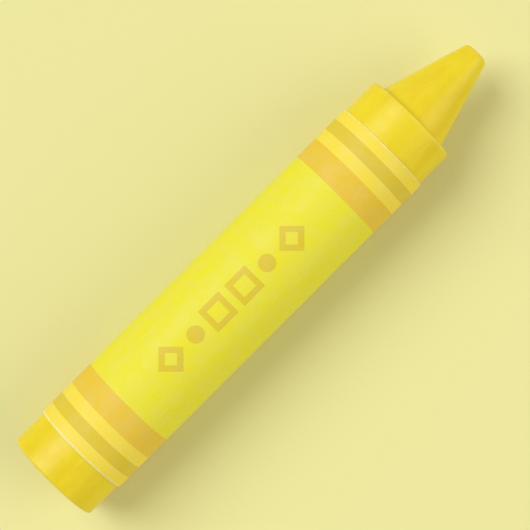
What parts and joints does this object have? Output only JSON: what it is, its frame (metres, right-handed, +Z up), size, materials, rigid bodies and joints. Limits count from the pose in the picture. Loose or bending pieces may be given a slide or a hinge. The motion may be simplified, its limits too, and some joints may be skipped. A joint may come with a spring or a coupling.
{
  "type": "crayon",
  "caption": "Chunky wax crayon with a stepped cone tip, in a double-wrapped paper label printed with wide and narrow bands.",
  "frame": {"origin": "on the surface that the crayon lies on, under the middle of its length", "axes": "+X along the crayon's axis from butt to nib, +Z up with the row of printed shapes facing up, +Y towards the side that has the label's seam"},
  "size_m": [0.0804, 0.0144, 0.0145],
  "materials": {
    "wax": "waxy, satin, slightly translucent",
    "paste": "dried starch paste",
    "label_paper": "uncoated off-white paper",
    "ink_ground": "matt print on paper, golden yellow",
    "ink_stripe": "matt print on paper, ochre",
    "ink_band": "matt print on paper, orange yellow",
    "ink_field": "matt print on paper, lemon yellow"
  },
  "bodies": {
    "root": {"wax_stick": "wax", "label_paste": "paste", "paper_label": "label_paper", "ground_rear": "ink_ground", "ground_front": "ink_ground", "thin_stripe_rear": "ink_stripe", "thin_stripe_front": "ink_stripe", "wide_band_rear": "ink_band", "wide_band_front": "ink_band", "middle_field": "ink_field", "shape_row": "ink_stripe"}
  },
  "joints": []
}
